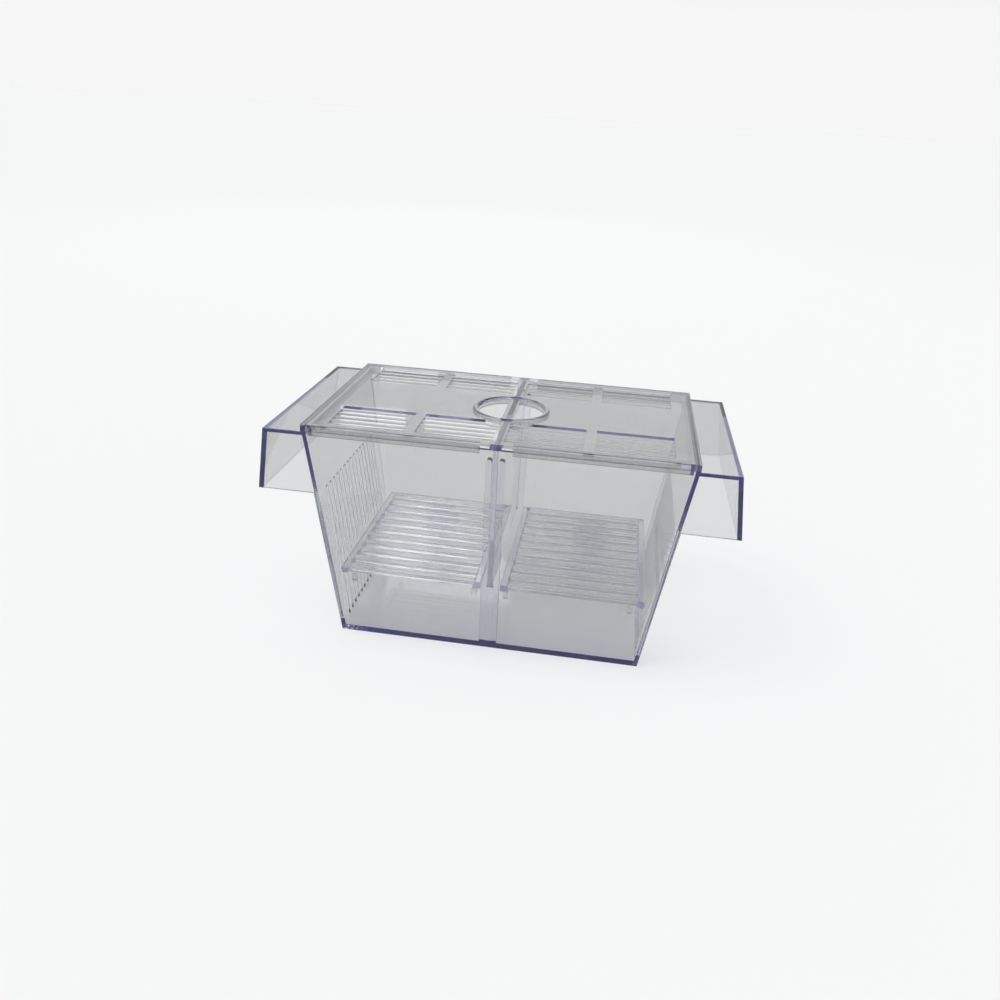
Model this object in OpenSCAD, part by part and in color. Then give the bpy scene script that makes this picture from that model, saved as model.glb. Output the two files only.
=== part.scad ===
// Floating two-chamber fish breeding box: a clear tapered tank with an air bell at each end,
// a vented lid with a feeding ring, a lift-out divider, two lift-out gratings and two suction cups.
// Millimetres. X runs along the length, Y to the back, Z up. The origin is the centre of the underside.

/* [Tank] */
// Outside length of the tank's mouth, without the floats
top_length = 160; // [130:1:200]
// Outside depth of the tank's mouth, front to back
top_depth = 96; // [84:1:120]
// Height of the rim above the underside
tank_height = 96; // [86:1:120]
// How far each end wall leans in between the rim and the underside
end_taper = 13.5; // [6:0.5:18]
// How far the front and back walls lean in between the rim and the underside
side_taper = 6; // [4:0.5:9]
// Thickness of the tank's four walls
wall = 1.7; // [1.2:0.1:2.4]
// Thickness of the tank's floor
floor_thick = 2.2; // [1.6:0.1:3.2]

/* [Floats] */
// Width of each float's top, from the rim to its outer edge
float_width = 16; // [12:0.5:24]
// Height of each float
float_drop = 27.5; // [20:0.5:34]
// How far the outer wall of a float leans out on its way down
float_flare = 4; // [0:0.5:6]
// Thickness of the floats' walls
float_wall = 1.8; // [1.2:0.1:2.6]
// How far the float tops lie below the rim
float_step = 0.4; // [0:0.1:1.5]

/* [Slots in the end walls] */
// Distance from slot to slot
slot_pitch = 4.8; // [4:0.1:5]
// Width of a slot
slot_width = 2.2; // [1.4:0.1:2.6]
// Height of the slots' lower ends
slot_bottom = 3.4; // [3.4:0.2:10]
// Wall left between the slots and the float
slot_margin = 1.4; // [1:0.2:6]
// Least wall left between the outermost slots and the front and back walls
slot_corner = 5.2; // [3:0.2:12]

/* [Divider and its guides] */
// Thickness of the divider
divider_thick = 2.2; // [1.6:0.1:3]
// Play between the divider and each guide rail
divider_play = 0.3; // [0.2:0.05:0.5]
// Width of one guide rail
rail_width = 2.4; // [1.6:0.1:3]
// How far the guide rails stand out from the wall
rail_reach = 3; // [2:0.1:4]
// How much less the web between two rails stands out than the rails
web_step = 0.5; // [0.3:0.1:1]
// Distance from the rim down to the tops of the guide rails
rail_top_drop = 4.5; // [3.5:0.5:8]
// Height of the divider's lower edge
divider_bottom = 31.5; // [26:0.5:40]

/* [Gratings] */
// Height of the gratings' underside
grating_level = 29.5; // [24:0.5:38]
// Thickness of a grating at its end strips
grating_thick = 3; // [2.4:0.1:4]
// Thickness of the bars
bar_thick = 2.2; // [1.6:0.1:2.4]
// Width of a bar
bar_width = 4.2; // [3:0.1:5]
// Distance from bar to bar that the bar count aims for
bar_pitch = 8; // [6:0.5:10]
// Width of the strips that join the bars' ends
strip_width = 3; // [2:0.2:5]
// Space between a grating and the end wall
grating_end_gap = 2.7; // [0.6:0.1:4]
// Play between a grating and the front wall, the back wall and the guide rails
grating_play = 0.45; // [0.3:0.05:0.8]
// Width of the pegs that carry the gratings
peg_width = 2; // [1.6:0.2:4]
// How far the pegs stand out from the wall
peg_reach = 2.6; // [2:0.1:4]
// Height of the pegs
peg_height = 3; // [2:0.1:5]
// Distance from the guide rails to the middle of the inner pegs
peg_offset = 3.2; // [2.6:0.1:5]
// Distance from the grating's outer end to its outer pegs
peg_inset = 6; // [4:1:12]

/* [Lid] */
// Height of the lid above the rim
lid_height = 2.5; // [2:0.1:4]
// Thickness of the lid's plate
lid_plate = 1.2; // [0.8:0.1:1.6]
// Thickness of the skirt around the lid's edge
skirt_thick = 1.6; // [1.2:0.1:2.4]
// Width of the solid blocks at the lid's corners
corner_block = 8; // [5:0.5:12]
// Depth of those blocks, front to back
corner_block_depth = 3; // [2:0.5:4]
// Width of the rib along the lid's middle
middle_rib = 4.8; // [3:0.2:5]
// Width of the notch in the middle of the skirt
notch_width = 13.4; // [11:0.2:20]
// How far the locating lip reaches down into the tank
lip_depth = 2.4; // [1:0.1:3]
// Thickness of the locating lip
lip_thick = 1.4; // [1:0.1:2]
// Play between the locating lip and the tank's walls
lip_play = 0.8; // [0.6:0.1:1.2]

/* [Vents] */
// Number of gaps in a vent
vent_gaps = 5; // [3:1:6]
// Width of the thin bars between the gaps
vent_bar = 1.4; // [1:0.1:1.8]
// Plate left between a vent and the lid's front or back edge
vent_margin = 5.2; // [4:0.1:6]
// Plate left between the outer vents and the lid's ends
vent_end_margin = 9.7; // [9:0.1:16]
// Depth of the plate kept whole along the lid's middle, front to back
middle_band = 39.4; // [37:0.2:48]
// Plate left between the two vents of one half
vent_spacing = 4.3; // [3:0.1:6]

/* [Feeding ring] */
// Outer radius of the feeding ring
ring_radius = 17; // [12:0.5:17.5]
// Width of the ring's rounded bead
ring_band = 2.3; // [1.6:0.1:3]
// How far the bead stands above the plate
ring_rise = 0.8; // [0.4:0.1:1.4]
// How far the ring's centre lies towards the front
ring_forward = 2.5; // [0:0.5:3.5]
// Plate kept whole around the ring where a vent comes close
ring_land = 2.2; // [0:0.1:2.5]

/* [Suction cups] */
// Radius of a cup's rim
cup_radius = 10; // [8:0.5:12]
// Thickness of a cup's skin
cup_skin = 1; // [0.8:0.1:1.6]
// Width of the flat edge that meets the aquarium's glass
cup_edge = 1.2; // [0.8:0.1:2]
// How far the cups reach past the back of the rim
cup_proud = 0.6; // [0.3:0.1:3]
// Radius of the neck that passes through the wall
neck_radius = 2.4; // [1.8:0.1:3]
// Radius of the head inside the tank
head_radius = 3.4; // [3:0.1:4]
// Thickness of the head
head_thick = 2; // [1.4:0.1:3]
// Bevel around the head
head_bevel = 0.8; // [0.4:0.1:1.2]
// Width of the collar that rests on the wall's outside
collar_width = 1.4; // [1:0.1:2]
// Thickness of that collar
collar_thick = 1.2; // [0.8:0.1:1.4]
// Distance of the cups from the middle of the back wall
cup_spread = 40; // [20:1:50]
// Height of the cups
cup_height = 16; // [13:0.5:18]
// Play between a cup and the edge of its hole
cup_play = 0.1; // [0.05:0.05:0.2]

/* [Hidden] */

$fn = 64;
// Overlap that makes a cut pass cleanly through a face, or joins two solids
over = 0.5;
// Flat faces that rest on each other lie this far apart
seat_gap = 0.15;

clear_plastic = [0.80, 0.82, 0.94, 0.45];
clear_vinyl = [0.90, 0.92, 0.95, 0.55];

rim_half_length = top_length / 2;
rim_half_depth = top_depth / 2;
float_top = tank_height - float_step;
float_bottom = float_top - float_drop;
slot_top = float_bottom - slot_margin;
rail_top = tank_height - rail_top_drop;
guide_half = divider_thick / 2 + divider_play;
rail_outer = guide_half + rail_width;
lid_bottom = tank_height + seat_gap;
lid_top = lid_bottom + lid_height;
plate_bottom = lid_top - lid_plate;
hole_radius = ring_radius - ring_band;
vent_length = (rim_half_length - middle_rib / 2 - vent_spacing - vent_end_margin) / 2;
vent_depth = rim_half_depth - vent_margin - middle_band / 2;
peg_middle = rail_outer + peg_offset;

// Half of the tank's outside length and depth at height z
function half_length(z) = rim_half_length - end_taper * (1 - z / tank_height);
function half_depth(z) = rim_half_depth - side_taper * (1 - z / tank_height);
// Distance from the middle to a float's outside at height z
function float_reach(z) = rim_half_length + float_width + float_flare * (float_top - z) / float_drop;

// A block between two heights whose four sides follow the tank's walls, moved in by inset
module tapered_block(inset, low, high) {
    intersection() {
        drawn_along_y()
            polygon([for (s = [[-1, low], [1, low], [1, high], [-1, high]])
                     [s[0] * (half_length(s[1]) - inset), s[1]]]);
        prism_along_x([for (s = [[-1, low], [1, low], [1, high], [-1, high]])
                       [s[0] * (half_depth(s[1]) - inset), s[1]]], 2 * rim_half_length);
    }
}

// An outline in X and Z drawn out along Y, past the front and the back
module drawn_along_y() {
    rotate([90, 0, 0])
        linear_extrude(height = 2 * top_depth, center = true)
            children();
}

// An outline in Y and Z drawn out along X, centred
module prism_along_x(outline, length) {
    rotate([90, 0, 90])
        linear_extrude(height = length + 2 * over, center = true)
            polygon(outline);
}

// A box given by its low and high corners
module box(low, high) {
    translate(low) cube(high - low);
}

module at_both_ends() {
    children();
    mirror([1, 0, 0]) children();
}

module at_front_and_back() {
    children();
    mirror([0, 1, 0]) children();
}

// Tank

// The right float: a bell open below, whose front and back follow the tank's
module float_bell() {
    intersection() {
        difference() {
            drawn_along_y()
                polygon([[half_length(float_top) - wall / 2, float_top],
                         [float_reach(float_top), float_top],
                         [float_reach(float_bottom), float_bottom],
                         [half_length(float_bottom) - wall / 2, float_bottom]]);
            float_air();
        }
        prism_along_x([for (s = [[-1, float_bottom], [1, float_bottom], [1, float_top], [-1, float_top]])
                       [s[0] * half_depth(s[1]), s[1]]], 2 * float_reach(float_bottom));
    }
}

// The air space of the right float
module float_air() {
    ceiling = float_top - float_wall;
    below = float_bottom - over;
    intersection() {
        drawn_along_y()
            polygon([[half_length(ceiling), ceiling],
                     [float_reach(ceiling) - float_wall, ceiling],
                     [float_reach(below) - float_wall, below],
                     [half_length(below), below]]);
        prism_along_x([for (s = [[-1, below], [1, below], [1, ceiling], [-1, ceiling]])
                       [s[0] * (half_depth(s[1]) - float_wall), s[1]]], 2 * float_reach(below));
    }
}

// The row of slots through the right end wall
module end_slots() {
    room = half_depth(slot_bottom) - wall - slot_corner - slot_width / 2;
    each_side = floor(room / slot_pitch);
    for (i = [-each_side : each_side])
        box([half_length(slot_bottom) - wall - over, i * slot_pitch - slot_width / 2, slot_bottom],
            [half_length(slot_top) + over, i * slot_pitch + slot_width / 2, slot_top]);
}

// A rib on the front wall between two heights, standing out by reach
module wall_rib(x_low, x_high, low, high, reach) {
    outside = half_depth(low) - wall / 2;
    translate([(x_low + x_high) / 2, 0, 0])
        rotate([90, 0, 90])
            linear_extrude(height = x_high - x_low, center = true)
                polygon([[-outside, low],
                         [-half_depth(low) + wall + reach, low],
                         [-half_depth(high) + wall + reach, high],
                         [-half_depth(high) + wall / 2, high]]);
}

// The right guide rail of the front wall, whose top end is round
module guide_rail() {
    round_end = rail_width / 2;
    middle = guide_half + round_end;
    intersection() {
        wall_rib(guide_half - over, rail_outer + over, floor_thick - over, rail_top + over, rail_reach);
        drawn_along_y()
            polygon(concat([[guide_half, 0], [rail_outer, 0]],
                           [for (turn = [0 : 15 : 180])
                            [middle + round_end * cos(turn), rail_top - round_end + round_end * sin(turn)]]));
    }
}

// The guide rails of the front wall, and the web between them that the divider stands on
module divider_guide() {
    web_half = guide_half + over;
    at_both_ends() guide_rail();
    wall_rib(-web_half, web_half, floor_thick - over, divider_bottom - seat_gap, rail_reach - web_step);
}

// The two pegs of the front wall that carry the right grating
module grating_pegs() {
    peg_top = grating_level - seat_gap;
    for (x = [peg_middle, grating_outer() - peg_inset])
        wall_rib(x - peg_width / 2, x + peg_width / 2, peg_top - peg_height, peg_top, peg_reach);
}

// The hole in the back wall that a suction cup's neck passes through
module cup_hole() {
    translate([cup_spread, half_depth(cup_height) + over, cup_height])
        rotate([90, 0, 0])
            cylinder(r = neck_radius + cup_play, h = wall + 4 * over);
}

module tank_body() {
    color(clear_plastic)
        difference() {
            union() {
                difference() {
                    tapered_block(0, 0, tank_height);
                    tapered_block(wall, floor_thick, tank_height + over);
                }
                at_both_ends() float_bell();
                at_front_and_back() divider_guide();
                at_both_ends() at_front_and_back() grating_pegs();
            }
            at_both_ends() end_slots();
            at_both_ends() cup_hole();
        }
}

// Divider

module divider() {
    top = tank_height - seat_gap;
    fit = wall + divider_play;
    color(clear_plastic)
        prism_along_x([for (s = [[-1, divider_bottom], [1, divider_bottom], [1, top], [-1, top]])
                       [s[0] * (half_depth(s[1]) - fit), s[1]]], divider_thick - 2 * over);
}

// Gratings

function grating_inner() = rail_outer + grating_play;
function grating_outer() = half_length(grating_level) - wall - grating_end_gap;
function grating_half_depth() = half_depth(grating_level) - wall - grating_play;

// One grating, for the right chamber
module grating() {
    top = grating_level + grating_thick;
    first = grating_half_depth() - bar_width / 2;
    bar_gaps = round(2 * first / bar_pitch);
    step = 2 * first / bar_gaps;
    color(clear_plastic)
        union() {
            for (i = [0 : bar_gaps])
                box([grating_inner(), i * step - first - bar_width / 2, top - bar_thick],
                    [grating_outer(), i * step - first + bar_width / 2, top]);
            for (x = [grating_inner(), grating_outer() - strip_width])
                box([x, -grating_half_depth(), grating_level],
                    [x + strip_width, grating_half_depth(), top]);
        }
}

module grating_right() {
    grating();
}

module grating_left() {
    mirror([1, 0, 0]) grating();
}

// Lid

// The plate with its skirt, corner blocks and middle rib, before the vents and the feeding holes
module lid_shell() {
    at_front_and_back() at_both_ends() {
        box([-over, -rim_half_depth, plate_bottom], [rim_half_length, over, lid_top]);
        box([rim_half_length - skirt_thick, -rim_half_depth, lid_bottom], [rim_half_length, over, lid_top]);
        box([notch_width / 2, -rim_half_depth, lid_bottom],
            [rim_half_length, skirt_thick - rim_half_depth, lid_top]);
        box([rim_half_length - corner_block, -rim_half_depth, lid_bottom],
            [rim_half_length, corner_block_depth - rim_half_depth, lid_top]);
        box([-over, -rim_half_depth, lid_bottom], [middle_rib / 2, over, lid_top]);
    }
}

// The lip that drops into the tank's mouth, left out beside the divider
module locating_lip() {
    x_out = rim_half_length - wall - lip_play;
    y_out = rim_half_depth - wall - lip_play;
    low = tank_height - lip_depth;
    high = plate_bottom + over;
    at_front_and_back() at_both_ends() {
        box([x_out - lip_thick, -y_out, low], [x_out, over, high]);
        box([notch_width / 2, -y_out, low], [x_out, lip_thick - y_out, high]);
    }
}

// The gaps of one vent, whose near corner is at x, y
module vent(x, y) {
    gap = (vent_depth - (vent_gaps - 1) * vent_bar) / vent_gaps;
    for (i = [0 : vent_gaps - 1])
        box([x, y + i * (gap + vent_bar), plate_bottom - over],
            [x + vent_length, y + i * (gap + vent_bar) + gap, lid_top + over]);
}

// The round collar of the feeding holes, with its rounded bead on top
module feeding_collar() {
    bead = ring_band / 2;
    translate([0, -ring_forward, 0]) {
        translate([0, 0, lid_bottom]) cylinder(r = ring_radius, h = lid_height);
        translate([0, 0, lid_top])
            rotate_extrude()
                translate([ring_radius - bead, 0])
                    scale([1, ring_rise / bead])
                        intersection() {
                            circle(r = bead);
                            translate([-bead, -over]) square([2 * bead, bead + over]);
                        }
    }
}

// The two half-round holes inside the collar, one on each side of the middle rib
module feeding_holes() {
    difference() {
        translate([0, -ring_forward, lid_bottom - over])
            cylinder(r = hole_radius, h = lid_height + 2 * over);
        box([-middle_rib / 2, -rim_half_depth, lid_bottom - 2 * over],
            [middle_rib / 2, rim_half_depth, lid_top + 2 * over]);
    }
}

module lid() {
    color(clear_plastic)
        difference() {
            union() {
                difference() {
                    lid_shell();
                    at_front_and_back() at_both_ends()
                        for (x = [middle_rib / 2, middle_rib / 2 + vent_length + vent_spacing])
                            vent(x, vent_margin - rim_half_depth);
                }
                locating_lip();
                translate([0, -ring_forward, plate_bottom])
                    cylinder(r = ring_radius + ring_land, h = lid_plate);
                feeding_collar();
            }
            feeding_holes();
        }
}

// Suction cups

// Half a cup's section: the radius, and the distance outwards from the wall at the cup's height
module cup_profile() {
    lean = side_taper / tank_height;
    inside = -wall - cup_play - lean * head_radius;
    outside = cup_play + lean * (neck_radius + collar_width);
    reach = rim_half_depth + cup_proud - half_depth(cup_height);
    collar_radius = neck_radius + collar_width;
    polygon([[0, inside - head_thick],
             [head_radius - head_bevel, inside - head_thick],
             [head_radius, inside - head_thick + head_bevel],
             [head_radius, inside],
             [neck_radius, inside],
             [neck_radius, outside],
             [collar_radius, outside],
             [collar_radius, outside + collar_thick],
             [cup_radius, reach - cup_skin],
             [cup_radius, reach],
             [cup_radius - cup_edge, reach],
             [collar_radius, outside + collar_thick + cup_skin],
             [0, outside + collar_thick + cup_skin]]);
}

module suction_cup() {
    color(clear_vinyl)
        translate([cup_spread, half_depth(cup_height), cup_height])
            rotate([-90, 0, 0])
                rotate_extrude()
                    cup_profile();
}

module suction_cup_right() {
    suction_cup();
}

module suction_cup_left() {
    mirror([1, 0, 0]) suction_cup();
}

tank_body();
lid();
divider();
grating_left();
grating_right();
suction_cup_left();
suction_cup_right();
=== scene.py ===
"""A clear floating fish breeding box, dressed around its packed construction.

The box is injection moulded in crystal polystyrene. Looked through, a wall of it is a thin
neutral grey, a painted shade that stands in for the dimmer surroundings seen through and
mirrored in it, and looked along, it is a deep violet blue, so every edge that guides light out
of a long stretch of plastic shows as a dark line. The suction cups are soft clear vinyl.
"""

import logging
import math
from dataclasses import dataclass
from enum import Enum

import bmesh
import bpy
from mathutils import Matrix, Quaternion, Vector


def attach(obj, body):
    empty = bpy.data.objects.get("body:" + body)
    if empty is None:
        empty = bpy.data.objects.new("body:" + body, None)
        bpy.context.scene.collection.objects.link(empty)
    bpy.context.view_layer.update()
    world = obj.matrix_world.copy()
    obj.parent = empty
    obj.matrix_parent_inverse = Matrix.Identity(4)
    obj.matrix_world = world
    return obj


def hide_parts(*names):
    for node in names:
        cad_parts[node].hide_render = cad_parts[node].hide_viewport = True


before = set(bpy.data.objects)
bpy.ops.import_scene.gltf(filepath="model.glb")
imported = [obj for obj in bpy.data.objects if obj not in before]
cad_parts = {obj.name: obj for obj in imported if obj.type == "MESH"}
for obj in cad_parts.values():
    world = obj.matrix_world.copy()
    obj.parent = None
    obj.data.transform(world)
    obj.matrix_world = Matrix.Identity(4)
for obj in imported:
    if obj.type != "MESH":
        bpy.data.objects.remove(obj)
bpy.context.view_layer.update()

MM = 0.001
# Points of a mesh that lie closer together than this, in metres, are one.
WELD = 1e-6
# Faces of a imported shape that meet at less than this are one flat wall.
FLAT_DEG = 0.5
# An edge this much sharper than the folds of an arc is a corner, and gets a radius.
CORNER_DEG = 5.0
# Each look through the box crosses up to a dozen walls, and every wall has two faces.
WALL_BOUNCES = 40
MIRROR_BOUNCES = 16
log = logging.getLogger("breeding_box")


class Side(Enum):
    """The end of the box that a piece belongs to."""

    LEFT = "left"
    RIGHT = "right"


def linear(code: str) -> tuple[float, float, float, float]:
    """Turns an sRGB hex colour into linear light.

    Args:
        code: The colour as #RRGGBB.

    Returns:
        Linear red, green and blue, and an alpha of 1.
    """
    values = [int(code[i : i + 2], 16) / 255 for i in (1, 3, 5)]
    bent = [v / 12.92 if v <= 0.04045 else ((v + 0.055) / 1.055) ** 2.4 for v in values]
    return (*bent, 1.0)


def add_node(
    tree: bpy.types.NodeTree,
    kind: str,
    inputs: dict[str | int, object] | None = None,
    **settings: object,
) -> bpy.types.Node:
    """Adds a node with its settings, values and links.

    Args:
        tree: The node tree that gets the node.
        kind: The node's type name.
        inputs: For each input socket, a value or an output socket to link.
        **settings: Properties of the node itself.

    Returns:
        The new node.
    """
    node = tree.nodes.new(kind)
    for name, value in settings.items():
        setattr(node, name, value)
    for socket, value in (inputs or {}).items():
        if isinstance(value, bpy.types.NodeSocket):
            tree.links.new(value, node.inputs[socket])
        else:
            node.inputs[socket].default_value = value
    return node


@dataclass(frozen=True)
class ClearPlastic:
    """A clear plastic, moulded against polished steel.

    Attributes:
        name: What a moulder calls the plastic.
        wall_tint: What the light that crosses one wall keeps. In the tank and the lid it is
            also painted shade, and in the gratings painted light.
        depth_tint: What the light that runs along the plastic keeps. In the gratings it is
            paler, as painted light.
        depth_per_m: How fast that tint builds up.
        shade_tint: What a lamp's light keeps at each face.
        ior: The plastic's refractive index.
        polish: Roughness where the tool's polish is untouched.
        rubbed: Roughness where hands have rubbed the face.
        rubs_per_m: How many rubbed patches lie along a metre.
        rub_levels: The noise values at which the rubbing starts and is complete.
        flow_mm: Length of the flow lines of the melt.
        flow_stretch: How many times longer than wide the flow lines are.
        flow_height_mm: Height of the flow lines.
    """

    name: str
    wall_tint: str
    depth_tint: str
    depth_per_m: float
    shade_tint: str
    ior: float = 1.59
    polish: float = 0.01
    rubbed: float = 0.05
    rubs_per_m: float = 65.0
    rub_levels: tuple[float, float] = (0.4, 0.75)
    flow_mm: float = 26.0
    flow_stretch: float = 4.0
    flow_height_mm: float = 0.005

    def make(self) -> bpy.types.Material:
        """Builds the material.

        Returns:
            The material.
        """
        material = bpy.data.materials.new(self.name)
        material.use_nodes = True
        tree = material.node_tree
        tree.nodes.clear()
        place = add_node(tree, "ShaderNodeTexCoord").outputs["Object"]
        surface = add_node(
            tree,
            "ShaderNodeMixShader",
            {
                0: self.lamp_light(tree),
                1: self.plastic_face(tree, place),
                2: self.clear_face(tree),
            },
        )
        inside = add_node(
            tree,
            "ShaderNodeVolumeAbsorption",
            {"Color": linear(self.depth_tint), "Density": self.depth_per_m},
        )
        add_node(
            tree,
            "ShaderNodeOutputMaterial",
            {"Surface": surface.outputs["Shader"], "Volume": inside.outputs["Volume"]},
        )
        return material

    def flow_lines(
        self, tree: bpy.types.NodeTree, place: bpy.types.NodeSocket
    ) -> bpy.types.NodeSocket:
        """Adds the low waves of the melt, which runs along the box.

        Args:
            tree: The material's node tree.
            place: The place on the piece.

        Returns:
            The direction that the face looks in.
        """
        along = add_node(
            tree,
            "ShaderNodeMapping",
            {"Vector": place, "Scale": (1.0 / self.flow_stretch, 1.0, 1.0)},
        )
        flow = add_node(
            tree,
            "ShaderNodeTexNoise",
            {
                "Vector": along.outputs["Vector"],
                "Scale": self.flow_stretch / (self.flow_mm * MM),
                "Detail": 1.0,
                "Roughness": 0.4,
            },
        )
        bump = add_node(
            tree,
            "ShaderNodeBump",
            {
                "Strength": 1.0,
                "Distance": self.flow_height_mm * MM,
                "Height": flow.outputs["Fac"],
            },
        )
        return bump.outputs["Normal"]

    def rubbed_patches(
        self, tree: bpy.types.NodeTree, place: bpy.types.NodeSocket
    ) -> bpy.types.NodeSocket:
        """Adds patches some 15 mm wide where fingers have dulled the polish.

        Args:
            tree: The material's node tree.
            place: The place on the piece.

        Returns:
            The roughness of the face.
        """
        rubs = add_node(
            tree,
            "ShaderNodeTexNoise",
            {"Vector": place, "Scale": self.rubs_per_m, "Detail": 3.0, "Roughness": 0.6},
        )
        starts, complete = self.rub_levels
        dull = add_node(
            tree,
            "ShaderNodeMapRange",
            {
                "Value": rubs.outputs["Fac"],
                "From Min": starts,
                "From Max": complete,
                "To Min": self.polish,
                "To Max": self.rubbed,
            },
        )
        return dull.outputs["Result"]

    def plastic_face(
        self, tree: bpy.types.NodeTree, place: bpy.types.NodeSocket
    ) -> bpy.types.NodeSocket:
        """Adds the face that mirrors and bends what is seen.

        Args:
            tree: The material's node tree.
            place: The place on the piece.

        Returns:
            The shader of the face.
        """
        plastic = add_node(
            tree,
            "ShaderNodeBsdfPrincipled",
            {
                # The wall tint carries the painted shade of the tank and the lid and the
                # painted light of the gratings.
                "Base Color": linear(self.wall_tint),
                "Roughness": self.rubbed_patches(tree, place),
                "IOR": self.ior,
                "Transmission Weight": 1.0,
                "Normal": self.flow_lines(tree, place),
            },
        )
        return plastic.outputs["BSDF"]

    def clear_face(self, tree: bpy.types.NodeTree) -> bpy.types.NodeSocket:
        """Adds the face as lamp light meets it, for the pale shadow of clear plastic.

        Args:
            tree: The material's node tree.

        Returns:
            The shader of the face.
        """
        passed = add_node(
            tree, "ShaderNodeBsdfTransparent", {"Color": linear(self.shade_tint)}
        )
        return passed.outputs["BSDF"]

    def lamp_light(self, tree: bpy.types.NodeTree) -> bpy.types.NodeSocket:
        """Adds the test for light from a lamp, or light that the floor gathers.

        Args:
            tree: The material's node tree.

        Returns:
            The value 1 for such light, and otherwise 0.
        """
        rays = add_node(tree, "ShaderNodeLightPath")
        lit = add_node(
            tree,
            "ShaderNodeMath",
            {0: rays.outputs["Is Shadow Ray"], 1: rays.outputs["Is Diffuse Ray"]},
            operation="MAXIMUM",
        )
        return lit.outputs["Value"]


# Injection-moulded crystal polystyrene: glassy, sharp reflections, violet blue along its edges.
SHADE_PAINTED_CRYSTAL_POLYSTYRENE = ClearPlastic(
    name="moulded_crystal_polystyrene",
    # Its grey wall tint is painted shade, for the dimmer surroundings seen through and mirrored
    # in the walls.
    wall_tint="#EAEAE7",
    depth_tint="#5C6CC4",
    depth_per_m=42.0,
    shade_tint="#FFFFFD",
)

# The lid, of the same plastic: greyer to look through, a painted shade that stands in for the
# dimmer surroundings that it mirrors, and paler along its edges.
SHADE_PAINTED_LID_POLYSTYRENE = ClearPlastic(
    name="moulded_polystyrene_of_the_lid",
    wall_tint="#D9D9D8",
    depth_tint="#6672C8",
    depth_per_m=28.0,
    shade_tint="#FFFFFD",
)

# The gratings, of the same plastic from a blasted tool: satin bars that catch the light. Their
# paler wall tint and their weaker, paler tint along the plastic are painted light, to brighten
# the bars.
SATIN_LIGHT_PAINTED_POLYSTYRENE = ClearPlastic(
    name="satin_moulded_polystyrene",
    wall_tint="#FAFAFA",
    depth_tint="#A4A8E8",
    depth_per_m=18.0,
    shade_tint="#FFFFFE",
    polish=0.06,
    rubbed=0.2,
)

# The divider is a plain plate of the same plastic with little dye in it: paler along its edges.
PALE_PLATE = ClearPlastic(
    name="pale_polystyrene_plate",
    wall_tint="#F6F6F8",
    depth_tint="#C8CCEC",
    depth_per_m=6.0,
    shade_tint="#FFFFFE",
)

# Soft clear vinyl, injection moulded: milky, with a blurred gloss.
SOFT_VINYL = ClearPlastic(
    name="soft_clear_vinyl",
    wall_tint="#DDE3EA",
    depth_tint="#C8D4E6",
    depth_per_m=60.0,
    shade_tint="#F2F4F6",
    ior=1.53,
    polish=0.16,
    rubbed=0.3,
    flow_mm=6.0,
    flow_height_mm=0.08,
)


@dataclass
class CadPiece:
    """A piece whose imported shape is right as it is, and only gets its finish.

    Attributes:
        node: The CAD node.
        finish: Its plastic.
    """

    node: str
    finish: bpy.types.Material

    def dress(self) -> None:
        """Puts the finish on the node."""
        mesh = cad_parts[self.node].data
        mesh.materials.clear()
        mesh.materials.append(self.finish)
        log.info("%s: %d faces, dressed as packed", self.node, len(mesh.polygons))


@dataclass
class NewPiece:
    """A piece that stands for a CAD node and rides on its body.

    Attributes:
        node: The CAD node that the piece stands for.
        body: The body that it rides on.
        finish: Its plastic.
        slot: Its material slot in the record. It is not used.
        fold_deg: Small faces that meet at less than this are one smooth surface.
        arc_face_mm2: A face smaller than this can be a part of an arc.
        round_mm: Radius on every corner.
        round_steps: Faces across that radius.
    """

    node: str
    body: str
    finish: bpy.types.Material
    slot: str = "clear_polystyrene"
    fold_deg: float = 20.0
    arc_face_mm2: float = 16.0
    round_mm: float = 0.3
    round_steps: int = 3

    def round_corners(self, shape: bmesh.types.BMesh) -> None:
        """Gives every corner the radius that the moulding tool leaves.

        Args:
            shape: The mesh to round.
        """
        corner = math.radians(self.fold_deg + CORNER_DEG)
        bmesh.ops.bevel(
            shape,
            geom=[edge for edge in shape.edges if edge.calc_face_angle(0.0) > corner],
            offset=self.round_mm * MM,
            offset_type="OFFSET",
            affect="EDGES",
            segments=self.round_steps,
            profile=0.5,
            material=-1,
            clamp_overlap=True,
        )

    def smooth_arcs(self, shape: bmesh.types.BMesh) -> None:
        """Shades the small faces of arcs smooth, and leaves each flat wall flat.

        Args:
            shape: The mesh to shade.
        """
        for face in shape.faces:
            face.smooth = face.calc_area() < self.arc_face_mm2 * MM * MM
        for edge in shape.edges:
            edge.smooth = edge.calc_face_angle(0.0) < math.radians(self.fold_deg)

    def place(self, shape: bmesh.types.BMesh) -> None:
        """Makes an object of the mesh, dresses it and puts it on its body.

        Args:
            shape: The finished mesh, which is freed.
        """
        self.smooth_arcs(shape)
        mesh = bpy.data.meshes.new(f"{self.node}_piece")
        shape.to_mesh(mesh)
        shape.free()
        mesh.materials.append(self.finish)
        piece = bpy.data.objects.new(mesh.name, mesh)
        bpy.context.scene.collection.objects.link(piece)
        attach(piece, self.body)
        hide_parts(self.node)
        log.info("%s: %d faces on body %s", piece.name, len(mesh.polygons), self.body)


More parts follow.
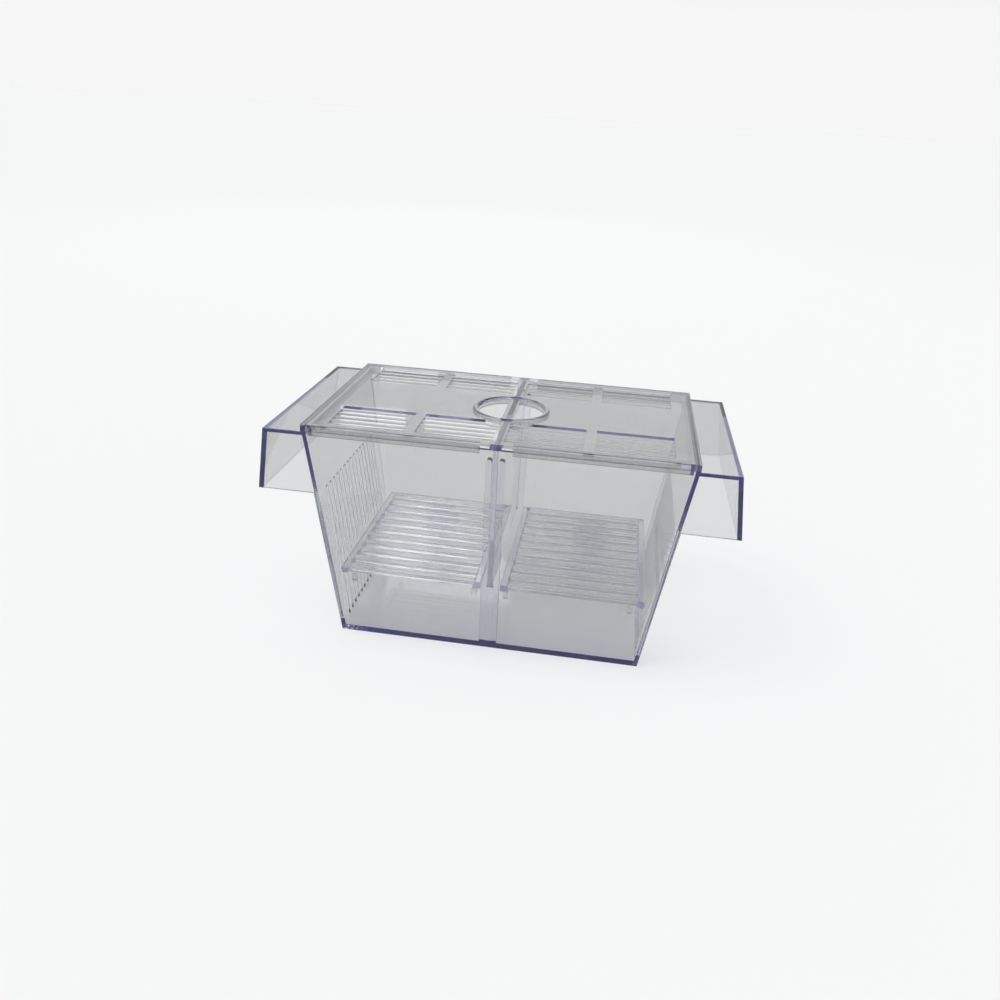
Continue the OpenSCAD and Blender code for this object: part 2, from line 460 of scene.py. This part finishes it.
@dataclass
class RoundedPiece(NewPiece):
    """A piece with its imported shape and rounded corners."""

    def build(self) -> None:
        """Merges a copy of the node's mesh, rounds its corners and places it."""
        shape = bmesh.new()
        shape.from_mesh(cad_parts[self.node].data)
        bmesh.ops.remove_doubles(shape, verts=shape.verts, dist=WELD)
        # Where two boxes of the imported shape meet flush, this clears faces of no width.
        bmesh.ops.dissolve_degenerate(shape, edges=shape.edges, dist=WELD)
        bmesh.ops.dissolve_limit(
            shape, angle_limit=math.radians(FLAT_DEG), verts=shape.verts, edges=shape.edges
        )
        self.round_corners(shape)
        self.place(shape)


@dataclass
class SuctionCup(NewPiece):
    """A soft cup: a head inside the wall, a neck through it, a collar and a flared bell.

    Attributes:
        middle_mm: Where the axis leaves the wall's outer face, for the right cup.
        spin_steps: Faces round the cup.
        head_mm: Section of the head and neck: radius, then distance out of the wall.
        bell_back_mm: Section of the collar and of the bell's back.
        bell_face_mm: Section of the lip and of the hollow face.
    """

    middle_mm: tuple[float, float, float] = (40.0, 43.0, 16.0)
    spin_steps: int = 48
    head_mm: tuple[tuple[float, float], ...] = (
        (0.0, -4.01),
        (2.6, -4.01),
        (3.4, -3.21),
        (3.4, -2.01),
        (2.4, -2.01),
        (2.4, 0.34),
        (3.8, 0.34),
    )
    bell_back_mm: tuple[tuple[float, float], ...] = (
        (3.8, 1.54),
        (5.4, 2.1),
        (7.2, 2.9),
        (8.8, 3.8),
        (9.7, 4.6),
    )
    bell_face_mm: tuple[tuple[float, float], ...] = (
        (10.0, 5.6),
        (8.9, 5.6),
        (8.0, 4.7),
        (6.4, 3.7),
        (4.4, 2.9),
        (2.2, 2.6),
        (0.0, 2.54),
    )

    def build(self, side: Side) -> None:
        """Spins the cup's section about its axis and places it.

        Args:
            side: The end of the box that the cup belongs to.
        """
        shape = bmesh.new()
        section = [
            shape.verts.new((radius * MM, out * MM, 0.0))
            for radius, out in (*self.head_mm, *self.bell_back_mm, *self.bell_face_mm)
        ]
        lines = [shape.edges.new(pair) for pair in zip(section, section[1:])]
        bmesh.ops.spin(
            shape,
            geom=[*section, *lines],
            cent=(0, 0, 0),
            axis=(0, 1, 0),
            angle=2 * math.pi,
            steps=self.spin_steps,
            use_merge=True,
        )
        bmesh.ops.remove_doubles(shape, verts=shape.verts, dist=WELD)
        bmesh.ops.recalc_face_normals(shape, faces=shape.faces)
        self.round_corners(shape)
        x, y, z = self.middle_mm
        turn = -1 if side is Side.LEFT else 1
        bmesh.ops.translate(shape, verts=shape.verts, vec=(turn * x * MM, y * MM, z * MM))
        self.place(shape)


@dataclass
class Tank:
    """The tank with its floats, slots, rails and pegs, and the two cups in its back wall.

    Attributes:
        styrene: The plastic of the tank.
        vinyl: The plastic of the cups.
        cup_fold_deg: How far the cups' soft skin can fold and still be one surface.
    """

    styrene: bpy.types.Material
    vinyl: bpy.types.Material
    cup_fold_deg: float = 24.0

    def build(self) -> None:
        """Dresses the tank and builds its cups."""
        CadPiece("tank_body", self.styrene).dress()
        for side in Side:
            SuctionCup(
                f"suction_cup_{side.value}",
                "tank",
                self.vinyl,
                slot="clear_vinyl",
                fold_deg=self.cup_fold_deg,
            ).build(side)


@dataclass
class Lid:
    """The loose lid with its vents and feeding ring.

    Attributes:
        styrene: The plastic of the lid.
    """

    styrene: bpy.types.Material

    def build(self) -> None:
        """Dresses the lid."""
        CadPiece("lid", self.styrene).dress()


@dataclass
class Insides:
    """What lifts out of the tank: the divider and the two gratings.

    Attributes:
        satin: The plastic of the gratings.
        plate: The plastic of the divider.
        plate_round_mm: Radius on the divider's corners.
        bar_round_mm: Radius on the gratings' bars and strips.
    """

    satin: bpy.types.Material
    plate: bpy.types.Material
    plate_round_mm: float = 0.2
    bar_round_mm: float = 0.4

    def build(self) -> None:
        """Builds the divider and the gratings."""
        RoundedPiece("divider", "divider", self.plate, round_mm=self.plate_round_mm).build()
        for side in Side:
            node = f"grating_{side.value}"
            RoundedPiece(node, node, self.satin, round_mm=self.bar_round_mm).build()


@dataclass(frozen=True)
class Lamp:
    """A soft lamp that faces the breeding box.

    Attributes:
        name: Its name.
        place: Where it hangs, in metres.
        size: Its width and height in metres.
        watts: Its power.
        roll_deg: How far it is turned about the line to the box.
        aim: What it faces, in metres.
    """

    name: str
    place: tuple[float, float, float]
    size: tuple[float, float]
    watts: float
    roll_deg: float = 0.0
    aim: tuple[float, float, float] = (0.0, 0.0, 0.05)

    def hang(self) -> None:
        """Hangs the lamp, out of the camera's sight."""
        lamp = bpy.data.lights.new(self.name, "AREA")
        lamp.shape = "RECTANGLE"
        lamp.size, lamp.size_y = self.size
        lamp.energy = self.watts
        holder = bpy.data.objects.new(self.name, lamp)
        holder.location = self.place
        holder.rotation_mode = "QUATERNION"
        towards = Vector(self.aim) - Vector(self.place)
        level = towards.to_track_quat("-Z", "Y")
        holder.rotation_quaternion = level @ Quaternion((0, 0, 1), math.radians(self.roll_deg))
        holder.visible_camera = False
        bpy.context.scene.collection.objects.link(holder)


# The strips are weak: the vents of the lid's left half mirror them as bright streaks.
LAMPS = (
    Lamp("left_soft_box", (-0.41, 1.53, 0.89), (0.5, 0.16), 0.42),
    Lamp("front_outer_strip", (-0.586, 1.778, 0.755), (0.175, 0.052), 0.03, -5.0),
    Lamp("front_inner_strip", (-0.352, 1.831, 0.775), (0.203, 0.052), 0.0285, -5.0),
    Lamp("back_outer_strip", (-0.515, 1.89, 0.665), (0.16, 0.039), 0.021, -3.5),
    Lamp("back_inner_strip", (-0.306, 1.931, 0.677), (0.179, 0.039), 0.0168, -3.5),
    Lamp("right_soft_box", (2.0, -0.9, 1.4), (0.6, 0.9), 2.0),
)


@dataclass
class Studio:
    """The pale floor, the soft lights and the camera at the photograph's angle.

    Attributes:
        floor_tint: The floor's paint.
        floor_half: Half of the floor's width in metres.
        floor_level_mm: Height of the floor, a hair below the tank.
        horizon_tint: The world at the horizon, as pale as the lit floor.
        zenith_tint: The world overhead.
        sky_rise: How steeply up, from 0 to 1, the world starts and ends its change of tint.
        sky_strength: Strength of the world's light.
        ceiling_strength: Strength of the broad ceiling light.
        ceiling_width_deg: Its width, as seen from the box.
        ceiling_from: The direction that it comes from.
        eye: The camera's place in metres.
        pitch_deg: How far the camera looks down.
        yaw_deg: How far it looks to the right of straight ahead.
        roll_deg: How far it is turned about its line of sight.
        focal_px: Its focal length in pixels of the picture.
        picture_px: The picture's width.
        sensor_mm: The sensor's width.
        sight_m: The nearest and the farthest thing that it sees.
    """

    floor_tint: str = "#F2F2F2"
    floor_half: float = 60.0
    floor_level_mm: float = -0.3
    horizon_tint: str = "#F6F6F6"
    zenith_tint: str = "#B6B7B8"
    sky_rise: tuple[float, float] = (0.1, 0.5)
    sky_strength: float = 1.0
    ceiling_strength: float = 1.85
    ceiling_width_deg: float = 40.0
    ceiling_from: tuple[float, float, float] = (-0.5, -0.25, 1.0)
    eye: tuple[float, float, float] = (0.0423, -0.35986, 0.21778)
    pitch_deg: float = 24.41
    yaw_deg: float = -7.19
    roll_deg: float = 3.27
    focal_px: float = 856.08
    picture_px: float = 1000.0
    sensor_mm: float = 36.0
    sight_m: tuple[float, float] = (0.01, 200.0)

    def build(self) -> None:
        """Builds all of it."""
        self.build_floor()
        self.build_sky()
        self.build_ceiling()
        for lamp in LAMPS:
            lamp.hang()
        self.build_camera()

    def build_floor(self) -> None:
        """Lays a wide plain floor, a hair below the tank so that the two share no plane."""
        shape = bmesh.new()
        bmesh.ops.create_grid(shape, x_segments=1, y_segments=1, size=self.floor_half)
        bmesh.ops.translate(shape, verts=shape.verts, vec=(0, 0, self.floor_level_mm * MM))
        mesh = bpy.data.meshes.new("floor")
        shape.to_mesh(mesh)
        shape.free()
        floor = bpy.data.objects.new("floor", mesh)
        bpy.context.scene.collection.objects.link(floor)
        paint = bpy.data.materials.new("matt_floor_paint")
        paint.use_nodes = True
        tree = paint.node_tree
        tree.nodes.clear()
        matt = add_node(tree, "ShaderNodeBsdfDiffuse", {"Color": linear(self.floor_tint)})
        add_node(tree, "ShaderNodeOutputMaterial", {"Surface": matt.outputs["BSDF"]})
        mesh.materials.append(paint)

    def build_sky(self) -> None:
        """Lights the world: as pale as the floor at the horizon, and greyer overhead."""
        world = bpy.data.worlds.new("studio")
        bpy.context.scene.world = world
        world.use_nodes = True
        tree = world.node_tree
        tree.nodes.clear()
        way = add_node(tree, "ShaderNodeTexCoord").outputs["Generated"]
        height = add_node(tree, "ShaderNodeSeparateXYZ", {"Vector": way})
        starts, ends = self.sky_rise
        rise = add_node(
            tree,
            "ShaderNodeMapRange",
            {"Value": height.outputs["Z"], "From Min": starts, "From Max": ends},
        )
        blend = add_node(
            tree, "ShaderNodeMix", {"Factor": rise.outputs["Result"]}, data_type="RGBA"
        )
        for socket, tint in zip(
            (sock for sock in blend.inputs if sock.type == "RGBA"),
            (self.horizon_tint, self.zenith_tint),
        ):
            socket.default_value = linear(tint)
        colour = next(out for out in blend.outputs if out.type == "RGBA")
        back = add_node(
            tree, "ShaderNodeBackground", {"Color": colour, "Strength": self.sky_strength}
        )
        add_node(tree, "ShaderNodeOutputWorld", {"Surface": back.outputs["Background"]})

    def build_ceiling(self) -> None:
        """Adds the broad ceiling light, which gives the box its soft shadow."""
        sun = bpy.data.lights.new("ceiling", "SUN")
        sun.energy = self.ceiling_strength
        sun.angle = math.radians(self.ceiling_width_deg)
        holder = bpy.data.objects.new("ceiling", sun)
        holder.rotation_mode = "QUATERNION"
        holder.rotation_quaternion = (-Vector(self.ceiling_from)).to_track_quat("-Z", "Y")
        # The outer faces don't mirror it: its edge would show as a white patch on the lid.
        holder.visible_glossy = False
        bpy.context.scene.collection.objects.link(holder)

    def build_camera(self) -> None:
        """Sets the camera at the photograph's angle."""
        lens = bpy.data.cameras.new("camera")
        lens.sensor_width = self.sensor_mm
        lens.lens = self.focal_px * self.sensor_mm / self.picture_px
        lens.clip_start, lens.clip_end = self.sight_m
        camera = bpy.data.objects.new("camera", lens)
        pitch = math.radians(self.pitch_deg)
        yaw = math.radians(self.yaw_deg)
        ahead = Vector(
            (
                math.sin(yaw) * math.cos(pitch),
                math.cos(yaw) * math.cos(pitch),
                -math.sin(pitch),
            )
        )
        roll = Quaternion(ahead, -math.radians(self.roll_deg))
        camera.location = self.eye
        camera.rotation_mode = "QUATERNION"
        camera.rotation_quaternion = roll @ ahead.to_track_quat("-Z", "Y")
        bpy.context.scene.collection.objects.link(camera)
        bpy.context.scene.camera = camera


def set_light_paths() -> None:
    """Lets light cross every wall of the box, and sets the plain view transform."""
    scene = bpy.context.scene
    scene.view_settings.view_transform = "Standard"
    scene.cycles.max_bounces = WALL_BOUNCES
    scene.cycles.transmission_bounces = WALL_BOUNCES
    scene.cycles.glossy_bounces = MIRROR_BOUNCES
    scene.cycles.transparent_max_bounces = WALL_BOUNCES
    scene.cycles.volume_bounces = 0


def main() -> None:
    """Builds the box and its studio."""
    logging.basicConfig(level=logging.INFO, format="%(message)s")
    set_light_paths()
    Tank(SHADE_PAINTED_CRYSTAL_POLYSTYRENE.make(), SOFT_VINYL.make()).build()
    Lid(SHADE_PAINTED_LID_POLYSTYRENE.make()).build()
    Insides(SATIN_LIGHT_PAINTED_POLYSTYRENE.make(), PALE_PLATE.make()).build()
    Studio().build()


if __name__ == "__main__":
    main()
